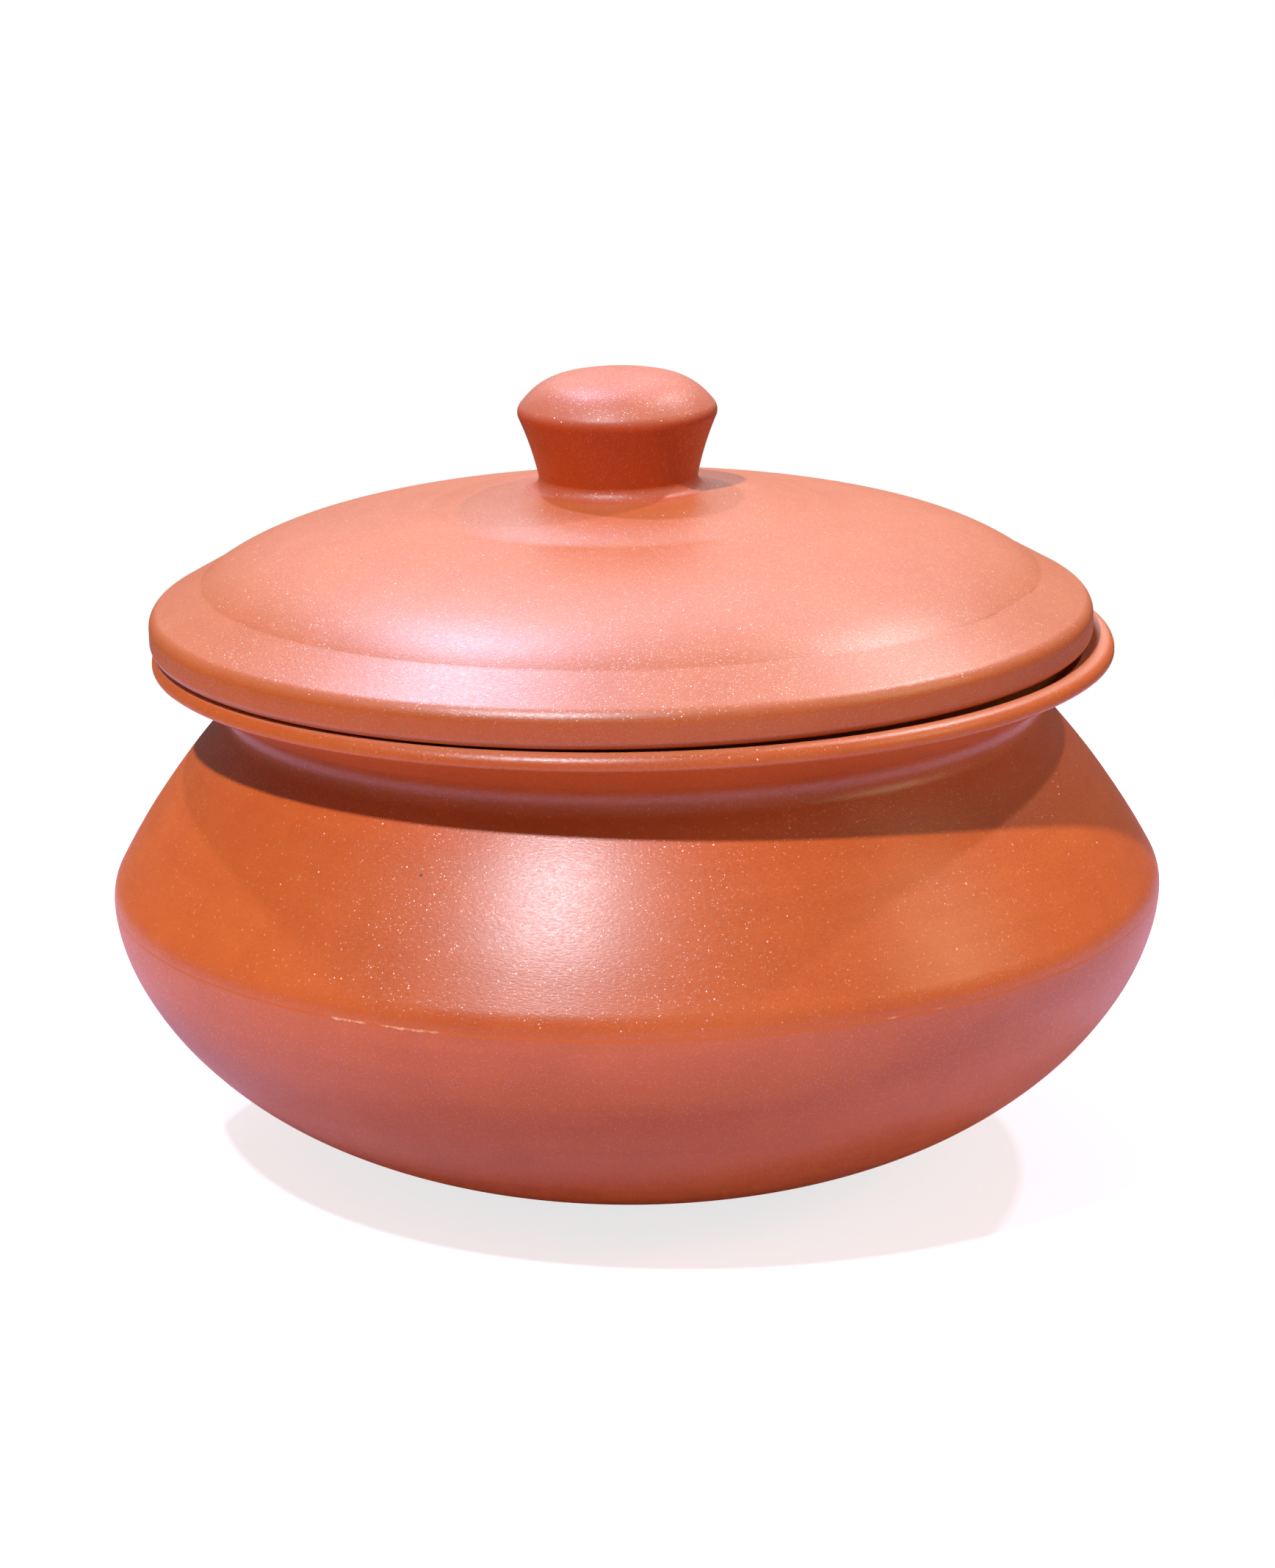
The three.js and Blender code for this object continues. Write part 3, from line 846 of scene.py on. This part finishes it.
def burnished_clay(name, clays, gloss, shine, fleck_share, sheen_slants, sheen_hides, sheen_above):
    """Burnished terracotta: three clay colours by cloud and stroke, grit, painted sheen and a
    stroke bump.

    Mica lies under the burnish, as tilted flecks in the coat, and open, as sparse pale flakes
    painted into the colour as glints, most on upward faces. The painted sheen is pale paint on
    upward faces for reflected light.
    """
    material, tree, shader = new_material(name)
    place = put(tree, "ShaderNodeTexCoord").outputs["Object"]
    normal = put(tree, "ShaderNodeNewGeometry").outputs["Normal"]
    way = put(tree, "ShaderNodeAttribute", attribute_name="way_round").outputs["Vector"]
    within = put(tree, "ShaderNodeAttribute", attribute_name="within").outputs["Fac"]
    clouds = grouped(tree, CLOUDS, {"Place": place})
    strokes = grouped(tree, STROKES, {"Way Round": way})
    grit = grouped(tree, GRIT, {"Place": place, "Share": GRIT_SHARE})
    under = {"Place": place, "Normal": normal, "Share": fleck_share}
    coarse = grouped(tree, FLECKS, {**under, **COARSE_FLECKS})
    under = {"Place": place, "Normal": coarse["Normal"], "Share": FINE_TO_COARSE * fleck_share}
    fine = grouped(tree, FLECKS, {**under, **FINE_FLECKS})
    flakes = grouped(tree, FLECKS, {"Place": place, **GLINT_FLAKES})

    cloud = math_node(tree, "MULTIPLY", clouds["Cloud"], CLOUD_SHARE)
    blush = math_node(tree, "MULTIPLY", clouds["Blush"], BLUSH_SHARE)
    band = math_node(tree, "MULTIPLY", strokes["Band"], BAND_SHARE)
    tone = math_node(tree, "ADD", math_node(tree, "ADD", cloud, blush), band)
    streak = math_node(tree, "MULTIPLY", strokes["Stroke"], STREAK_SHARE)
    upward = upright_share(tree, normal)
    # Painted sheen: pale paint on upward faces, standing in for reflected light
    painted_sheen = painted_sheen_cover(tree, place, upward, clouds["Blush"], sheen_slants, sheen_hides, sheen_above)
    # Painted glints: pale mica flakes in the colour, mostly on upward faces
    glint_cover = spread_out(tree, upward, *GLINT_FLAKE_SLANTS, *GLINT_FLAKE_COVER)
    painted_glint = math_node(tree, "MULTIPLY", flakes["Fleck"], glint_cover)
    colour = mixed(tree, tone, clays["deep"], clays["body"])
    colour = mixed(tree, streak, colour, clays["pale"])
    colour = mixed(tree, grit["Grain"], colour, GRIT_COLOUR)
    # Painted sheen and painted glints laid over the clay's own colours
    colour = mixed(tree, painted_sheen, colour, PAINTED_SHEEN_COLOUR)
    colour = mixed(tree, painted_glint, colour, GLINT_MICA_COLOUR)
    tree.links.new(colour, shader.inputs["Base Color"])

    flecks = math_node(tree, "MAXIMUM", coarse["Fleck"], fine["Fleck"])
    dull = math_node(tree, "MULTIPLY", within, INSIDE_DULLS_FLECKS)
    weight = math_node(tree, "MULTIPLY", flecks, math_node(tree, "SUBTRACT", 1.0, dull))
    tree.links.new(weight, shader.inputs["Coat Weight"])
    tree.links.new(fine["Normal"], shader.inputs["Coat Normal"])
    shader.inputs["Coat Roughness"].default_value = FLECK_ROUGHNESS
    shader.inputs["Coat IOR"].default_value = FLECK_IOR

    ends = (gloss - STROKE_SMOOTHER, gloss + STROKE_ROUGHER)
    rough = spread_out(tree, strokes["Stroke"], 0, 1, *ends)
    rougher = math_node(tree, "MULTIPLY", within, INSIDE_ROUGHER)
    tree.links.new(math_node(tree, "ADD", rough, rougher), shader.inputs["Roughness"])

    pits = math_node(tree, "MULTIPLY", clouds["Blush"], BLUSH_RELIEF)
    relief = math_node(tree, "ADD", strokes["Stroke"], pits)
    bump = put(tree, "ShaderNodeBump", {**BURNISH_BUMP, "Height": relief})
    tree.links.new(bump.outputs["Normal"], shader.inputs["Normal"])
    shader.inputs["Diffuse Roughness"].default_value = CLAY_DIFFUSE_ROUGHNESS
    shader.inputs["IOR"].default_value = shine
    shader.inputs["Specular Tint"].default_value = CLAY_MIRROR_TINT
    return material


def luting_slip(name, body, pale):
    """Dried slip: the clay's own colour, pale where a crumb was left, matt, with a grainy bump."""
    material, tree, shader = new_material(name)
    place = put(tree, "ShaderNodeTexCoord").outputs["Object"]
    crumb = put(tree, "ShaderNodeAttribute", attribute_name="crumb").outputs["Fac"]
    grains = noise(tree, place, *SLIP_NOISE)
    tone = math_node(tree, "MULTIPLY", crumb, spread_out(tree, grains, *SLIP_REACH))
    tree.links.new(mixed(tree, tone, body, pale), shader.inputs["Base Color"])
    rough = spread_out(tree, crumb, 0, SLIP_ROUGH_FROM_CRUMB, *SLIP_ROUGHNESS)
    tree.links.new(rough, shader.inputs["Roughness"])
    uneven = math_node(tree, "MULTIPLY", crumb, grains)
    bump = put(tree, "ShaderNodeBump", {**SLIP_BUMP, "Height": uneven})
    tree.links.new(bump.outputs["Normal"], shader.inputs["Normal"])
    return material


# Pieces


def settle(piece, node, body, material):
    """Gives a piece its material and slot, and puts it on its body in place of its CAD node."""
    piece.data.materials.append(material)
    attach(piece, body)
    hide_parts(node)


# The sheen arguments set the painted sheen: pale paint on upward faces for reflected light
pot_clay = burnished_clay(
    "pot_clay",
    POT_CLAYS,
    gloss=0.38,
    shine=1.74,
    fleck_share=0.19,
    sheen_slants=(0.72, 0.9),
    sheen_hides=0.16,
    sheen_above=NO_SHEEN_CUT,
)
lid_clay = burnished_clay(
    "lid_clay",
    LID_CLAYS,
    gloss=0.41,
    shine=1.85,
    fleck_share=0.24,
    sheen_slants=(0.2, 0.6),
    sheen_hides=0.08,
    sheen_above=NO_SHEEN_CUT,
)
# Shaded copy of the clay for the knob, painting in the shade on its sides; its painted sheen stops
# near its foot
knob_shaded_clay = burnished_clay(
    "knob_shaded_clay",
    KNOB_SHADED_CLAYS,
    gloss=0.40,
    shine=1.55,
    fleck_share=0.24,
    sheen_slants=(-0.1, 0.65),
    sheen_hides=0.23,
    sheen_above=0.1676,
)
dried_slip = luting_slip("dried_slip", SLIP_BODY, SLIP_CRUMB)

lid_axis = FIT_GAP - LID_PLAY
lid_foot = crest_height + BRIM_GAP
slip_foot = lid_foot + knob_seat_height
knob_foot = slip_foot + KNOB_SLIP
bowl = spun("clay_bowl", *bowl_section(), WHEEL_TURNS, hand=pot_hand)
shoulder = spun("clay_shoulder", *shoulder_section(), WHEEL_TURNS, hand=pot_hand)
seam = ring_piece("seam_of_slip", *seam_slip_surface())
lid = spun("clay_lid", *lid_section(), WHEEL_TURNS, (lid_axis, lid_foot), lid_hand)
knob_slip = spun("slip_under_knob", *knob_slip_section(), KNOB_SLIP_TURNS, (lid_axis, slip_foot))
knob = spun("clay_knob", *knob_section(), KNOB_TURNS, (lid_axis, knob_foot))

settle(bowl, "bowl", "pot", pot_clay)
settle(shoulder, "shoulder", "pot", pot_clay)
settle(seam, "seam_slip", "pot", dried_slip)
settle(lid, "lid_shell", "lid", lid_clay)
settle(knob_slip, "knob_slip", "lid", lid_clay)
settle(knob, "lid_knob", "lid", knob_shaded_clay)


# Stage: pale floor, white surroundings, soft lamps and the camera


def pale_floor():
    """Round of pale floor that keeps the shadow, white from above and not there from below."""
    turn = np.linspace(0, 2 * math.pi, FLOOR_SIDES, endpoint=False)
    level = np.full(FLOOR_SIDES, FLOOR_LEVEL)
    edge = np.column_stack([FLOOR_RADIUS * np.cos(turn), FLOOR_RADIUS * np.sin(turn), level])
    mesh = bpy.data.meshes.new("pale_floor")
    mesh.from_pydata(edge.tolist(), [], [tuple(range(FLOOR_SIDES))])
    floor = linked("pale_floor", mesh)
    material, tree, shader = new_material("pale_floor")
    tree.nodes.remove(shader)
    seen = put(tree, "ShaderNodeLightPath").outputs["Is Camera Ray"]
    matt = put(tree, "ShaderNodeBsdfDiffuse", {"Color": FLOOR_COLOUR})
    place = put(tree, "ShaderNodeTexCoord").outputs["Object"]
    away = put(tree, "ShaderNodeVectorMath", {0: place}, operation="LENGTH").outputs["Value"]
    white = spread_out(tree, away, *FLOOR_WHITE_REACH, *FLOOR_WHITE)
    strength = math_node(tree, "MULTIPLY", seen, white)
    glow = put(tree, "ShaderNodeEmission", {"Strength": strength})
    lit = put(tree, "ShaderNodeAddShader", {0: matt.outputs[0], 1: glow.outputs[0]})
    clear = put(tree, "ShaderNodeBsdfTransparent")
    below = put(tree, "ShaderNodeNewGeometry").outputs["Backfacing"]
    shown = put(tree, "ShaderNodeMixShader", {0: below, 1: lit.outputs[0], 2: clear.outputs[0]})
    tree.links.new(shown.outputs[0], tree.nodes["Material Output"].inputs["Surface"])
    mesh.materials.append(material)


def white_surroundings():
    """White world: strength 1 where seen, less where the back is mirrored, plain elsewhere."""
    world = bpy.data.worlds.new("white_surroundings")
    bpy.context.scene.world = world
    world.use_nodes = True
    tree = world.node_tree
    path = put(tree, "ShaderNodeLightPath").outputs
    direction = put(tree, "ShaderNodeTexCoord").outputs["Generated"]
    toward = put(tree, "ShaderNodeSeparateXYZ", {0: direction}).outputs
    behind = spread_out(tree, toward["Y"], *MIRRORED_BEHIND)
    above = spread_out(tree, toward["Z"], *MIRRORED_ABOVE)
    sideways = math_node(tree, "ABSOLUTE", toward["X"])
    aside = spread_out(tree, sideways, *MIRRORED_ASIDE, 1.0, 0.0)
    back = math_node(tree, "MULTIPLY", math_node(tree, "MULTIPLY", behind, above), aside)
    veil = math_node(tree, "MULTIPLY", back, MIRRORED_LEVEL)
    mirrored = math_node(tree, "MULTIPLY", path["Is Glossy Ray"], veil)
    seen = math_node(tree, "MAXIMUM", path["Is Camera Ray"], path["Is Transmission Ray"])
    shown = math_node(tree, "MAXIMUM", seen, mirrored)
    background = tree.nodes["Background"]
    background.inputs["Color"].default_value = (1, 1, 1, 1)
    strength = math_node(tree, "MAXIMUM", shown, WORLD_LEVEL)
    tree.links.new(strength, background.inputs["Strength"])


def turned(degrees, axis):
    """A turn about one axis."""
    return Matrix.Rotation(math.radians(degrees), 4, axis)


def soft_lamp(name, azimuth, elevation, distance, size, level, colour):
    """An oval area lamp that faces the pot; level is its share of plain light on what faces it."""
    lamp = bpy.data.lights.new(name, "AREA")
    lamp.shape = "ELLIPSE"
    lamp.size, lamp.size_y = size
    lamp.color = colour
    lamp.energy = level * (math.pi * distance) ** 2
    tilt = turned(azimuth, "Z") @ turned(90 - elevation, "X")
    reach = Matrix.Translation((0, 0, distance))
    linked(name, lamp).matrix_world = Matrix.Translation(LAMP_AIM) @ tilt @ reach


def photo_camera():
    """Camera where the photo's outline puts it: long lens, 15 degrees down, rolled a little."""
    camera = bpy.data.cameras.new("photo_camera")
    camera.lens = SENSOR_WIDTH * FOCAL_PIXELS / PHOTO_PIXELS_HIGH
    camera.sensor_width = SENSOR_WIDTH
    camera.clip_start, camera.clip_end = CAMERA_REACH
    held = linked("photo_camera", camera)
    down = turned(90 - CAMERA_DOWN, "X") @ turned(CAMERA_ROLL, "Z")
    held.matrix_world = Matrix.Translation(CAMERA_PLACE) @ down
    bpy.context.scene.camera = held


pale_floor()
white_surroundings()
for lamp_settings in LAMPS:
    soft_lamp(*lamp_settings)
photo_camera()
bpy.context.scene.view_settings.view_transform = "Standard"
